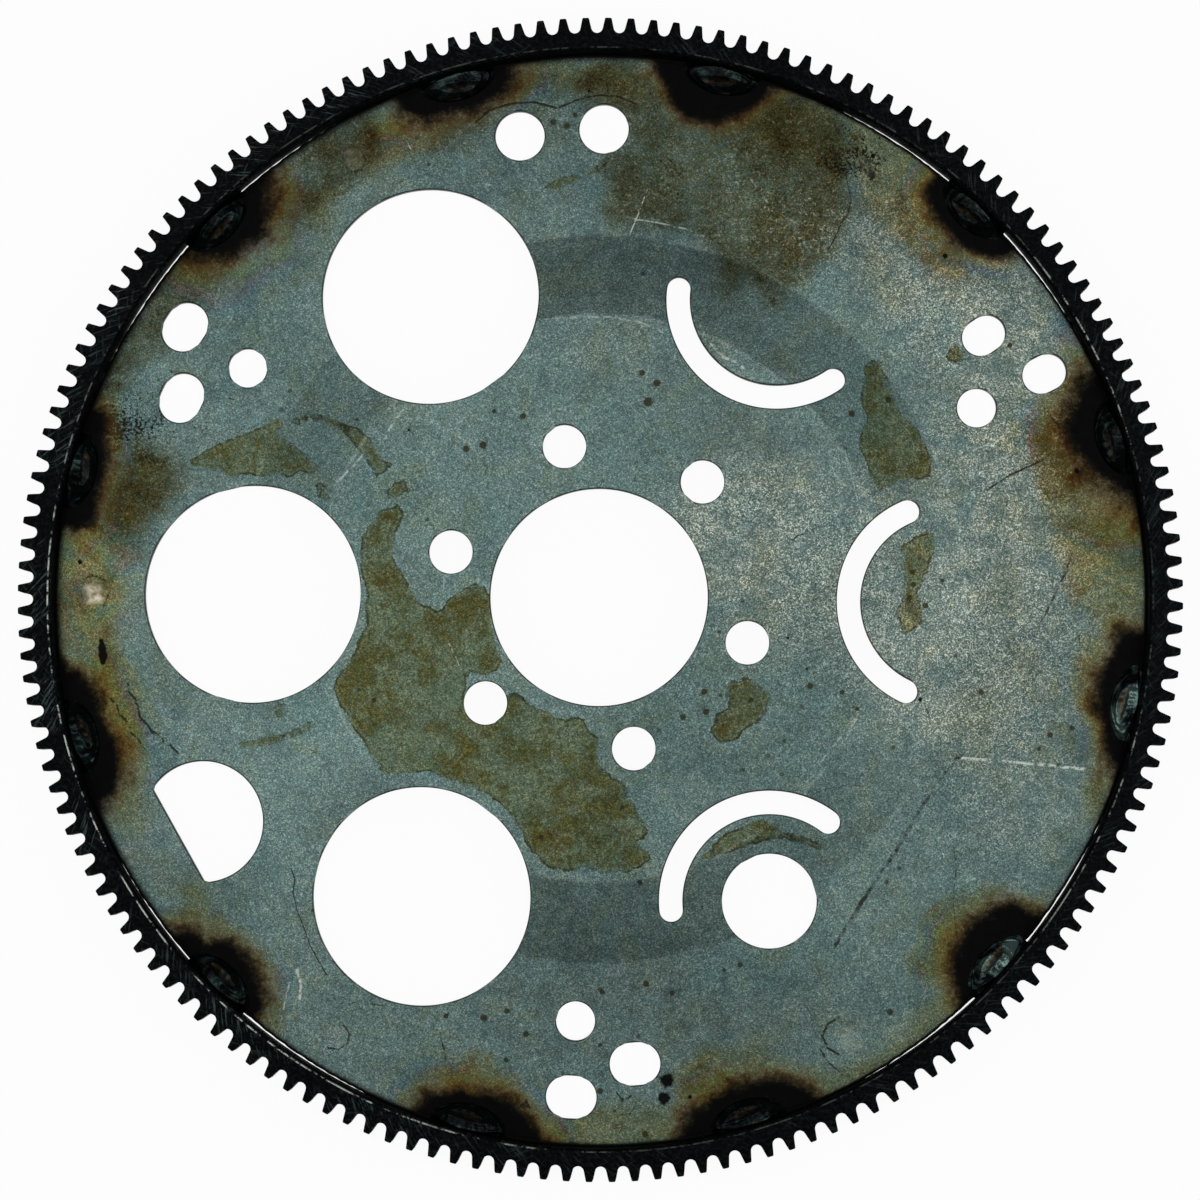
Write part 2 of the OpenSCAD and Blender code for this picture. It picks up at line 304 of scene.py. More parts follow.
# Golden films, where the sheet was only warm
STRAWS = [
    [842,108, 890,126, 930,158, 944,190, 928,215, 944,246, 975,262, 960,280, 915,252, 890,228, 868,204,
     850,160], [540,1112, 570,1122, 600,1108, 650,1108, 690,1116, 690,1146, 560,1150],
    [48,530, 100,526, 120,540, 128,560, 116,590, 112,625, 118,655, 126,690, 134,730, 138,770, 146,800,
     140,834, 118,828, 108,790, 100,700, 44,660], [545,66, 600,62, 650,72, 668,96, 640,108, 600,100, 560,84],
    [360,150, 385,120, 420,122, 450,122, 430,146, 395,164, 370,176],
    [255,196, 300,182, 332,194, 312,216, 270,224],
    [690,106, 770,96, 830,112, 852,150, 830,180, 790,152, 740,136],
    [104,470, 150,462, 172,474, 160,504, 134,530, 108,530],
    [1030,425, 1046,402, 1060,372, 1086,376, 1090,460, 1136,505, 1150,560, 1140,640, 1112,650, 1100,620,
     1080,602, 1070,552, 1052,522, 1042,482, 1036,455],
    [1085,640, 1110,640, 1110,800, 1095,830, 1085,815, 1098,760, 1078,700],
    [428,1078, 470,1054, 500,1072, 520,1104, 560,1140, 660,1142, 690,1112, 680,1080, 700,1052, 760,1046,
     800,1072, 850,1074, 905,1036, 925,1004, 950,990, 960,1010, 880,1085, 760,1150, 480,1160, 400,1120],
    [908,962, 925,940, 942,936, 928,914, 950,898, 985,886, 1004,902, 1050,890, 1040,930, 965,930, 952,990,
     930,976],
    [160,920, 185,905, 178,884, 205,880, 212,910, 240,930, 265,965, 280,1005, 276,1030, 250,1020, 190,940],
]
# Black zones of the welds, each after the reach of its brown fringe in millimetres
BURNS = [
    (9.5, [1092,376, 1082,395, 1076,416, 1076,436, 1084,456, 1098,472, 1115,487, 1145,502, 1165,480, 1150,380,
     1110,362]),
    (4.1, [935,178, 927,192, 932,210, 942,225, 956,241, 976,251, 1000,254, 1040,246, 1040,200, 960,150]),
    (3.5, [655,70, 666,88, 672,106, 690,119, 713,123, 737,117, 752,105, 766,93, 785,82, 785,60, 655,50]),
    (5.4, [398,112, 414,117, 428,121, 442,114, 470,107, 486,103, 500,92, 512,72, 500,50, 390,85]),
    (8.4, [188,243, 197,252, 212,255, 228,251, 243,244, 255,234, 259,212, 264,194, 258,180, 235,180,
     170,230]),
    (4.3, [104,408, 104,440, 105,456, 103,472, 99,487, 97,502, 97,514, 92,523, 78,528, 50,528, 40,425]),
    (5.7, [55,664, 74,678, 86,690, 94,703, 100,716, 108,730, 115,744, 121,759, 121,778, 114,795, 99,805,
     70,806, 40,690]),
    (4.9, [168,936, 186,934, 198,937, 206,945, 215,942, 229,944, 240,955, 250,968, 258,985, 264,1001,
     260,1012, 250,1020, 225,1035, 150,950]),
    (4.9, [418,1108, 434,1097, 448,1092, 463,1090, 482,1092, 497,1097, 510,1106, 522,1117, 532,1130, 545,1145,
     540,1170, 400,1140]),
    (5.1, [678,1150, 684,1132, 692,1119, 702,1110, 714,1100, 730,1090, 747,1085, 767,1083, 787,1084, 802,1089,
     812,1098, 826,1104, 800,1150]),
    (4.6, [962,1008, 955,986, 954,965, 960,945, 968,929, 981,916, 996,906, 1012,904, 1027,910, 1040,916,
     1062,920, 1040,980]),
    (4.9, [1122,632, 1112,653, 1105,670, 1101,686, 1101,702, 1103,722, 1107,742, 1111,758, 1118,772, 1160,770,
     1160,632]),
]
# Soft patches: x, y, half widths, turn, weight
# Patches of painted light and glints on the bare grit, most of them at the right
LIGHT_AND_GLINT_PATCHES = [
    (965, 300, 85, 62, -30, 1.0), (1000, 590, 90, 120, 0, 0.85), (780, 555, 60, 80, 0, 1.0),
    (700, 520, 60, 40, 20, 0.6), (1010, 430, 60, 60, 0, 0.6), (870, 600, 30, 90, 0, 0.5),
    (900, 210, 40, 40, 0, 0.3), (960, 690, 60, 50, 0, 0.6), (600, 350, 70, 30, 0, 0.3),
    (800, 220, 60, 60, 0, 0.4), (1000, 820, 60, 60, 0, 0.4),
]
# Blobs of painted light and shade over random tone: they darken the cone band at the top and the bottom of
# the face, and lighten other places
SHADE_AND_TONES = [
    (630, 1000, 130, 60, 0, -0.24), (93, 588, 17, 17, 0, -0.3), (750, 1015, 80, 50, 0, -0.14),
    (560, 965, 70, 40, 0, -0.08), (290, 800, 50, 90, 0, 0.2), (200, 750, 60, 40, 0, 0.12),
    (760, 320, 60, 50, 0, -0.1), (680, 265, 110, 36, 0, -0.22), (580, 275, 60, 30, 0, -0.12),
    (870, 235, 60, 60, 0, -0.2), (700, 245, 50, 30, 0, -0.12), (400, 1060, 60, 40, 0, -0.05),
    (740, 430, 70, 30, -20, -0.14), (700, 770, 60, 30, -20, -0.12), (90, 560, 30, 60, 0, 0.25),
    (330, 580, 40, 120, 0, 0.06), (312, 735, 34, 40, 0, 0.22), (110, 610, 30, 120, 0, 0.28),
    (1085, 560, 40, 90, 0, 0.02), (815, 138, 30, 22, -20, -0.28), (128, 500, 26, 26, 0, -0.32),
    (480, 560, 120, 170, 0, 0.15), (410, 760, 110, 60, 0, 0.1), (590, 80, 60, 36, 0, -0.28),
    (545, 175, 70, 40, 0, -0.14), (280, 255, 44, 28, 0, -0.18), (785, 265, 50, 60, 0, 0.34),
    (905, 615, 40, 60, 0, -0.13), (1020, 460, 34, 90, 0, -0.12), (1000, 270, 36, 20, 40, -0.2),
    (1110, 500, 28, 30, 0, -0.2), (1085, 745, 40, 34, 0, -0.16), (1010, 700, 90, 110, 0, -0.09),
    (440, 150, 120, 50, 0, -0.12), (540, 110, 40, 30, 0, -0.2), (640, 345, 80, 30, 0, -0.08),
    (862, 240, 20, 50, 0, -0.16), (1030, 300, 40, 40, 0, -0.12), (700, 116, 36, 18, 0, -0.26),
    (845, 345, 40, 40, 0, 0.14), (155, 480, 22, 20, 0, -0.16), (300, 202, 30, 14, 30, -0.24),
]
GRIME = [
    (146, 405, 30, 30, -20, 0.66), (205, 428, 70, 18, 8, 0.42), (112, 425, 14, 30, 0, 0.75),
    (672, 128, 18, 40, 0, 0.42), (760, 170, 70, 50, -20, 0.3), (650, 150, 24, 12, 20, 0.22),
    (700, 205, 20, 40, 0, 0.28), (550, 150, 40, 14, 0, 0.45), (490, 120, 40, 18, 10, 0.5),
    (595, 95, 50, 16, 0, 0.64), (800, 150, 60, 40, -30, 0.36), (862, 165, 30, 22, -20, 0.72),
    (140, 500, 34, 50, 0, 0.55), (300, 205, 30, 14, 30, 0.72), (1048, 412, 30, 20, -30, 0.5),
    (755, 1055, 18, 14, 0, 0.6), (880, 130, 40, 24, -35, 0.5), (1000, 255, 30, 14, 0, 0.5),
    (190, 890, 24, 24, 0, 0.5), (660, 90, 20, 20, 0, 0.4),
]
TEMPER = [
    (95, 600, 34, 90, 0, 1.0), (105, 545, 30, 30, 0, 0.9), (125, 735, 16, 50, -15, 0.9),
    (400, 135, 60, 26, 20, 0.8), (930, 240, 60, 50, -40, 0.6), (1095, 560, 40, 90, 0, 0.6),
    (440, 1082, 40, 16, 10, 1.0), (500, 1085, 24, 20, -20, 0.7), (270, 1000, 18, 40, -20, 0.7),
    (120, 840, 24, 40, 20, 0.5),
]
# Small spots: x, y, radius in pixels, kind
BROWN, BLACK = 1, 2
SPOTS = [
    (646, 984, 3, 1), (602, 992, 2.6, 1), (672, 993, 2.6, 1), (484, 1018, 3.4, 1), (507, 1011, 2.8, 1),
    (446, 1016, 2.5, 1), (740, 965, 2.5, 1), (724, 970, 1.8, 1), (640, 882, 2.4, 1), (506, 1060, 2.5, 1),
    (526, 1034, 3, 1), (645, 1134, 3, 1), (541, 837, 2.4, 1), (483, 445, 3.6, 1), (466, 449, 3.2, 1),
    (494, 411, 2.2, 1), (523, 416, 3, 1), (642, 373, 3, 1), (657, 383, 3.6, 1), (648, 402, 4.4, 1),
    (945, 256, 2.6, 2), (810, 686, 3, 1), (807, 669, 1.6, 1), (842, 692, 2.4, 1), (857, 709, 2, 1),
    (890, 1012, 3.2, 1), (888, 400, 3, 1), (852, 413, 3.2, 1), (1010, 345, 2.6, 1), (925, 606, 3, 1),
    (942, 581, 2, 1), (913, 572, 2.6, 1), (914, 584, 2.6, 1), (909, 598, 2.8, 1), (981, 692, 2.6, 1),
    (1050, 735, 2.8, 1), (1039, 749, 2.2, 1), (1072, 728, 2.4, 1), (553, 122, 3, 1), (567, 126, 2.8, 1),
    (575, 115, 2.4, 1), (667, 1080, 7, 2), (664, 1098, 6.5, 2), (101, 641, 2.4, 2), (102, 645, 3.4, 2),
    (102, 649, 4.4, 2), (103, 654, 4.8, 2), (103, 658, 4.2, 2), (103, 662, 3.0, 2), (80, 562, 2.4, 2),
    (1077, 471, 2.6, 2), (920, 700, 2.2, 2), (690, 1097, 2, 2), (374, 700, 2.4, 1), (706, 712, 3.2, 1),
    (683, 717, 3, 1), (704, 692, 3, 1), (751, 700, 2.6, 1), (763, 660, 1.4, 2), (409, 430, 1.4, 2),
    (788, 638, 1.4, 2), (600, 1045, 2, 1), (873, 156, 2.4, 2), (872, 175, 4, 2), (600, 1091, 3, 1),
]
# Lines: width in pixels, strength, points. They fade from the inner to the outer share of half their width
LINE_INNER, LINE_OUTER = 0.7, 1.7
DARK_LINES = [
    (3.6, 0.42, [835,945, 860,905, 880,875, 900,845, 920,810, 938,782, 955,760, 963,754]),
    (2.2, 0.5, [940,780, 955,760, 963,754]), (2.6, 0.45, [1073,553, 1062,580, 1050,605, 1038,627]),
    (1.7, 0.6, [987,490, 1010,475, 1030,466, 1043,460]),
    (1.0, 0.85, [291,868, 295,880, 293,892, 297,910, 303,925, 310,945, 318,960, 326,974]),
    (0.9, 0.6, [954,848, 956,870, 953,900, 956,932, 962,955]),
    (2.0, 0.95, [128,684, 129,692, 135,699, 138,709, 140,717, 147,724, 152,732, 159,734, 163,741, 170,745,
     177,752]), (1.5, 0.85, [112,700, 117,706, 119,714, 126,721, 130,727, 131,733, 138,739, 144,748]),
    (1.8, 0.8, [476,122, 490,110, 510,104, 535,102, 556,108]),
    (1.8, 0.8, [560,107, 580,99, 600,95, 620,97, 636,104]), (1.2, 0.6, [607,84, 608,98]),
    (1.2, 0.65, [845,170, 848,185, 851,200, 848,214, 842,222, 836,236, 828,250]),
    (1.4, 0.6, [821,1050, 826,1060, 835,1068, 842,1074]),
    (1.6, 0.7, [343,151, 350,147, 360,149, 366,159, 362,170, 352,172, 343,163, 343,151]),
    (1.8, 0.42, [80,606, 76,594, 80,581, 92,575, 104,580, 109,592, 104,606]),
    (1.5, 0.8, [330,1048, 338,1050, 347,1044, 350,1034, 344,1026]),
    (2.0, 0.8, [838,1054, 828,1048, 822,1036, 828,1024, 838,1018]),
    (1.3, 0.85, [516,1111, 522,1104, 530,1108, 526,1100]),
    (1.3, 0.85, [617,1093, 622,1100, 629,1097, 623,1101]),
    (0.9, 0.6, [613,1109, 620,1115, 630,1115, 634,1107]),
    (1.5, 0.85, [1042,405, 1050,415, 1056,423, 1066,425]), (1.2, 0.8, [793,540, 797,536, 803,534]),
    (1.2, 0.4, [172,372, 190,378, 207,388, 225,398, 250,402]), (1.3, 0.5, [925,706, 928,712]),
    (1.0, 0.5, [1079,636, 1080,650]), (0.9, 0.5, [345,1006, 360,1000, 372,1004, 384,1006]),
    (1.0, 0.5, [440,1034, 444,1050, 446,1060]),
]
# Light scuffs; those along the hub bend are also a painted highlight of the bend
LIGHT_LINES = [
    (2.2, 0.75, [962,758, 1000,761, 1045,765, 1082,769]), (0.9, 0.62, [647,190, 638,215, 626,243]),
    (1.4, 0.42, [633,219, 655,222, 686,229]), (2.2, 0.7, [297,970, 301,985, 299,1005]),
    (1.4, 0.5, [289,985, 284,1005, 282,1018]), (2.4, 0.5, [700,326, 706,340, 722,355]),
    (2.6, 0.55, [720,356, 736,362, 748,372]), (0.9, 0.5, [404,135, 412,152]),
    (1.6, 0.4, [540,319, 575,317, 610,317, 640,322, 662,332]), (1.8, 0.4, [880,344, 892,352, 905,362]),
    (2.0, 0.4, [881,572, 882,600, 886,616, 883,642]), (1.5, 0.35, [843,734, 815,770]),
    (2.6, 0.45, [384,440, 392,425, 404,408]), (2.4, 0.45, [333,486, 350,470, 364,454]),
    (1.0, 0.5, [447,640, 455,655, 460,668]), (1.6, 0.4, [445,572, 443,590, 441,612]),
    (1.2, 0.4, [690,665, 698,650, 702,645]), (1.0, 0.4, [845,450, 855,490, 863,520]),
    (0.8, 0.4, [420,430, 428,412]), (0.9, 0.35, [860,870, 862,840, 870,815]),
    (1.1, 0.45, [488,190, 486,184, 490,185]),
]
# Six press marks: x, y, radius and depth in millimetres, and the share of polish with its painted highlight
PRESSES = [
    (354, 158, 3.6, 0.08, 0.12), (94, 594, 3.1, 0.16, 1.0), (340, 1037, 3.6, 0.06, 0.08),
    (850, 1038, 4.0, 0.1, 0.16), (1103, 598, 3.6, 0.05, 0.05), (865, 168, 3.6, 0.05, 0.06),
]


# Fields over the face of the disc, which the material breaks up into crisp shapes
def blob_field(p, blobs):
    """Sum of soft ellipses, each with its weight in the middle and half of it at the edge."""
    total = 0
    for x, y, rx, ry, turn, weight in blobs:
        a = math.radians(turn)
        d = p - spot(x, y)
        u = (d[:, 0] * math.cos(a) + d[:, 1] * math.sin(a)) / (rx * PX)
        v = (-d[:, 0] * math.sin(a) + d[:, 1] * math.cos(a)) / (ry * PX)
        total = total + weight * np.exp(-0.69 * (u * u + v * v))
    return total


def path_points(path):
    return np.array([spot(x, y) for x, y in zip(path[::2], path[1::2])])


def off_segment(p, a, b):
    """Distance of points from the straight line between a and b."""
    d = b - a
    t = np.clip((p - a) @ d / (d @ d), 0, 1)
    return length(p - a - t[:, None] * d)


def inside_of(p, outline):
    """Distance in millimetres from the edge of an outline: above 0 inside it, below 0 outside."""
    q = path_points(outline)
    best, odd = np.full(len(p), 1e9), np.zeros(len(p), bool)
    for a, b in zip(q, np.roll(q, -1, 0)):
        best = np.minimum(best, off_segment(p, a, b))
        across = (a[1] > p[:, 1]) != (b[1] > p[:, 1])
        odd ^= across & (p[:, 0] < a[0] + (p[:, 1] - a[1]) * (b[0] - a[0]) / ((b[1] - a[1]) or 1e-12))
    return np.where(odd, best, -best)


FIELD_END, BLACK_DEPTH = 9.0, 3.0


def shapes(p, outlines):
    return np.clip(np.max([inside_of(p, o) for o in outlines], axis=0), -FIELD_END, FIELD_END)


def burn_field(p):
    """Above 0 in a black zone, 1 at its black depth, and -1 at the reach of its brown fringe."""
    best = np.full(len(p), -FIELD_END)
    for reach, outline in BURNS:
        d = inside_of(p, outline)
        best = np.maximum(best, d / np.where(d > 0, BLACK_DEPTH, reach))
    return best


def spot_field(p, kind):
    best = np.zeros(len(p))
    for x, y, r, k in SPOTS:
        if k == kind:
            best = np.maximum(best, np.clip(2.5 - 2 * length(p - spot(x, y)) / (r * PX), 0, 1))
    return best


def line_field(p, lines):
    best = np.zeros(len(p))
    for w, k, path in lines:
        q = path_points(path)
        for a, b in zip(q, q[1:]):
            off = off_segment(p, a, b) / (w * PX / 2)
            best = np.maximum(best, k * np.clip(LINE_OUTER - off, 0, 1))
    return best


def mark_points():
    """More points for the plan, close together where a small mark has to be crisp."""
    pts = []
    for x, y, r, _ in SPOTS:
        c = spot(x, y)
        pts.append([c])
        for f, n in ((0.6, 7), (1.1, 9)):
            pts.append([c + polar(f * r * PX, 360 * i / n) for i in range(n)])
    for w, _, path in DARK_LINES + LIGHT_LINES:
        q = path_points(path)
        for a, b in zip(q, q[1:]):
            d = b - a
            long = np.hypot(*d)
            side = np.array([-d[1], d[0]]) / long
            for t in np.linspace(0, 1, max(2, int(long / LINE_STEP))):
                pts.append([a + t * d + side * w * PX / 2 * f
                            for f in (-LINE_OUTER, -LINE_INNER, LINE_INNER, LINE_OUTER)])
    return np.concatenate(pts)


def plan_points():
    """Points between the loops: rings, closer at the bends and towards the burnt rim, and the small marks."""
    bend = (BEND + SHEET) * SIN_C
    rings = np.concatenate([np.arange(34, 81, FACE_STEP), np.linspace(HUB_R, HUB_R + bend, 7),
                            np.linspace(RIM_R - bend, RIM_R, 7), np.arange(86.2, 104.5, FACE_STEP),
                            np.arange(109.4, FINE_FROM, 1.8), np.arange(139, 159.2, 1.2)])
    pts = []
    for k, r in enumerate(sorted(rings)):
        n = int(2 * math.pi * r / (RIM_STEP if r > FINE_FROM else FACE_STEP))
        pts.append(r * circle((np.arange(n) + 0.5 * (k % 2)) * 2 * math.pi / n))
    pts = np.concatenate(pts + [mark_points()])
    return pts[(hole_edge(pts) > HOLE_ROOM) & (rim_gap(pts) > RIM_ROOM)]


def make_disc():
    rim_deg = np.arange(RIM_POINTS) * 360 / RIM_POINTS
    ragged = np.random.default_rng(RIM_SEED).uniform(*RAGGED, RIM_POINTS)
    rim_r = BORE_R - np.maximum(BORE_R - rim_edge(rim_deg) + ragged, 0.01)
    unit = circle(np.radians(rim_deg))
    loops = [(loop, outward(loop), HOLE_ROLL, True) for loop, _ in holes]
    loops.append((unit * rim_r[:, None], -unit, RIM_ROLL, False))

    # The plan of both faces: triangles between the loops, as far in as their edges are rolled
    plan, edges, starts = [], [], []
    for loop, n, ease, _ in loops:
        first, size = sum(len(x) for x in plan), len(loop)
        plan.append(loop + n * ease)
        starts.append(first)
        edges += [(first + i, first + (i + 1) % size) for i in range(size)]
    plan = np.concatenate(plan + [plan_points()])
    out = delaunay_2d_cdt([Vector(p) for p in plan.tolist()], edges, [], 0, 1e-7)
    flat = np.array([(v.x, v.y) for v in out[0]])
    tris = np.array([f for f in out[2] if len(f) == 3])
    new_index = {old: new for new, olds in enumerate(out[3]) for old in olds}
    mid = flat[tris].mean(1)
    tris = tris[(hole_edge(mid) > 0) & (rim_gap(mid) > 0)]
    a, b, c = (flat[tris[:, k]] for k in range(3))
    turn = (b[:, 0] - a[:, 0]) * (c[:, 1] - a[:, 1]) - (b[:, 1] - a[:, 1]) * (c[:, 0] - a[:, 0])
    tris[turn < 0] = tris[turn < 0][:, ::-1]

    nf = len(flat)
    r = length(flat)
    dent, polish_and_highlight = np.zeros(nf), np.zeros(nf)
    for x, y, size, deep, polish_highlight_share in PRESSES:
        gap = (flat - spot(x, y)) / size
        d = length(gap)
        dent += deep * (np.exp(-d ** 4 * 0.9) - 0.35 * np.exp(-((d - 1.15) / 0.18) ** 2))
        # Two bright lobes: the painted highlight of each press mark, over its polish
        for side in (-1, 1):
            lobe = np.hypot(0.62 * (gap[:, 0] - 0.10 * side), 1.25 * (gap[:, 1] + 0.46 * side))
            polish_and_highlight = np.maximum(polish_and_highlight, polish_highlight_share * np.exp(-(lobe / 0.50) ** 4))

    # Each point carries its painted edge shade: none on the faces, full on the rolled front edges and less on
    # the back edges
    verts, edge_shade = [], []

    def add(p, z, edge):
        first = sum(len(v) for v in verts)
        verts.append(np.column_stack([p, z]))
        edge_shade.append(np.full(len(p), edge))
        return np.arange(first, first + len(p))
    add(flat, face_top(r) - dent, 0.0)
    add(flat, face_back(r), 0.0)
    faces = [tuple(t) for t in tris] + [tuple(t[::-1] + nf) for t in tris]

    # The walls of the loops, from the rolled edge in front to the eased edge at the back
    for (loop, n, ease, is_hole), first in zip(loops, starts):
        size = len(loop)
        levels = [np.array([new_index[first + i] for i in range(size)])]
        top, low = face_top(length(loop + n * ease)), face_back(length(loop))
        for theta in (67.5, 45, 22.5, 0):
            t = math.radians(theta)
            p, z = loop + n * ease * (1 - math.cos(t)), top - ease * (1 - math.sin(t))
            levels.append(add(p, z, FRONT_EDGE_SHADE))
        for p, z in ((loop, low + 1.1), (loop, low + BACK_EASE), (loop + n * BACK_EASE, low)):
            levels.append(add(p, z, BACK_EDGE_SHADE))
        levels.append(levels[0] + nf)
        for up, down in zip(levels, levels[1:]):
            for i in range(size):
                j = (i + 1) % size
                f = (up[i], up[j], down[j], down[i])
                faces.append(f if is_hole else f[::-1])

    # The back has marks of the same kind in other places; the heat of the welds goes through the sheet
    verts = np.concatenate(verts)
    xy = verts[:, :2]
    r = length(xy)
    is_back = verts[:, 2] < (face_top(r) + face_back(r)) / 2 - 0.6
    seen = np.where(is_back, 0.0, 1.0)
    where = np.where(is_back[:, None], xy * np.array([-1.0, 1.0]), xy)
    # Painted shade next to the ring: a dark band on the sheet along the bore, wider towards the upper left,
    # away from the light
    shade_w = 2.6 + 1.2 * np.cos(np.arctan2(xy[:, 1], xy[:, 0]) - 2.7)
    return mesh_object("disc_stamping", verts, faces, {
        "stain": shapes(where, STAINS),
        "film": shapes(where, FILMS),
        "straw": shapes(where, STRAWS),
        "burn": burn_field(xy) - np.where(is_back, 0.6, 0.0),
        "grime": blob_field(where, GRIME),
        "light_and_glint": blob_field(where, LIGHT_AND_GLINT_PATCHES),
        "shade_and_tone": blob_field(where, SHADE_AND_TONES),
        "temper": seen * blob_field(xy, TEMPER),
        "brown": seen * spot_field(xy, BROWN),
        "black": seen * spot_field(xy, BLACK),
        "crack": seen * line_field(xy, DARK_LINES),
        "scuff": seen * line_field(xy, LIGHT_LINES),
        "polish_and_highlight": np.concatenate([polish_and_highlight, np.zeros(len(verts) - nf)]),
        "corner": seen * np.clip(1 - (BORE_R - r) / shade_w, 0, 1),
        "edge_shade": np.concatenate(edge_shade),
    })


def make_ring():
    # One tooth space about +Y, from the middle of one tip to the middle of the next, anticlockwise in plan
    flank, ease = math.radians(FLANK), 0.34
    foot_y = ROOT_R + ROOT_ROUND
    foot = np.array([ROOT_ROUND * math.cos(flank), foot_y - ROOT_ROUND * math.sin(flank)])
    y = TIP_R
    for _ in range(20):
        x = foot[0] + (y - foot[1]) * math.tan(flank)
        y = math.sqrt(TIP_R ** 2 - x * x)
    corner = np.array([x, y])
    down = np.array([-math.sin(flank), -math.cos(flank)])
    half_pitch, corner_t = math.pi / TEETH, math.atan2(x, y)

    def tip(t):
        return np.array([TIP_R * math.sin(t), TIP_R * math.cos(t)])
    start = corner + down * ease
    right = [tip((half_pitch + corner_t) / 2), tip(corner_t + ease / TIP_R),
             corner + down * 0.05 + np.array([0.1, -0.02]), start, (start + foot) / 2]
    right += [np.array([ROOT_ROUND * math.cos(t), foot_y + ROOT_ROUND * math.sin(t)])
              for t in np.linspace(-flank, -math.pi / 2, 6)]
    left = [p * np.array([-1, 1]) for p in right[::-1]][1:]
    space = np.array([tip(half_pitch)] + right + left)
    outline = []
    for i in range(TEETH):
        a = math.radians(TOOTH_PHASE + (i + 0.5) * 360 / TEETH - 90)
        ca, sa = math.cos(a), math.sin(a)
        outline.append(space @ np.array([[ca, sa], [-sa, ca]]))
    outline = np.concatenate(outline)
    n_pts = len(outline)
    inward = -outward(outline)
    unit = circle(np.arctan2(outline[:, 1], outline[:, 0]))
    verts, faces = [], []

    def level(p, z):
        verts.append(np.column_stack([p, np.full(n_pts, z)]))
        return np.arange((len(verts) - 1) * n_pts, len(verts) * n_pts)

    def teeth_at(z, bevel, limit):
        p = outline + inward * bevel
        return level(p * np.minimum(1, limit / length(p))[:, None], z)

    def circle_at(r, z):
        return level(unit * r, z)

    # Levels of the bevelled teeth, the same from the back as from the front
    low_r, root_r = TIP_R - TIP_BEVEL, ROOT_R - 0.9
    steps = [(0, 0.2, low_r), (0.06, 0.06, low_r + 0.06), (0.2, 0, low_r + 0.2), (TIP_BEVEL, 0, TIP_R - 0.04),
             (TIP_BEVEL + 0.15, 0, TIP_R)]
    loops = [circle_at(BORE_R, BACK_BEVEL), circle_at(BORE_R + BACK_BEVEL * 0.3, BACK_BEVEL * 0.3),
             circle_at(BORE_R + BACK_BEVEL, 0), circle_at(root_r, 0)]
    loops += [teeth_at(z, bevel, limit) for z, bevel, limit in steps]
    loops += [teeth_at(RING_W - z, bevel, limit) for z, bevel, limit in steps[::-1]]
    loops += [circle_at(root_r, RING_W), circle_at(BORE_R + BORE_BEVEL + 0.25, RING_W),
              circle_at(BORE_R + BORE_BEVEL - 0.1, RING_W - 0.1),
              circle_at(BORE_R + 0.12, RING_W - BORE_BEVEL + 0.12),
              circle_at(BORE_R, RING_W - BORE_BEVEL - 0.15)]
    for lo, hi in zip(loops, loops[1:] + loops[:1]):
        for i in range(n_pts):
            j = (i + 1) % n_pts
            faces.append((lo[i], lo[j], hi[j], hi[i]))
    return np.concatenate(verts), faces


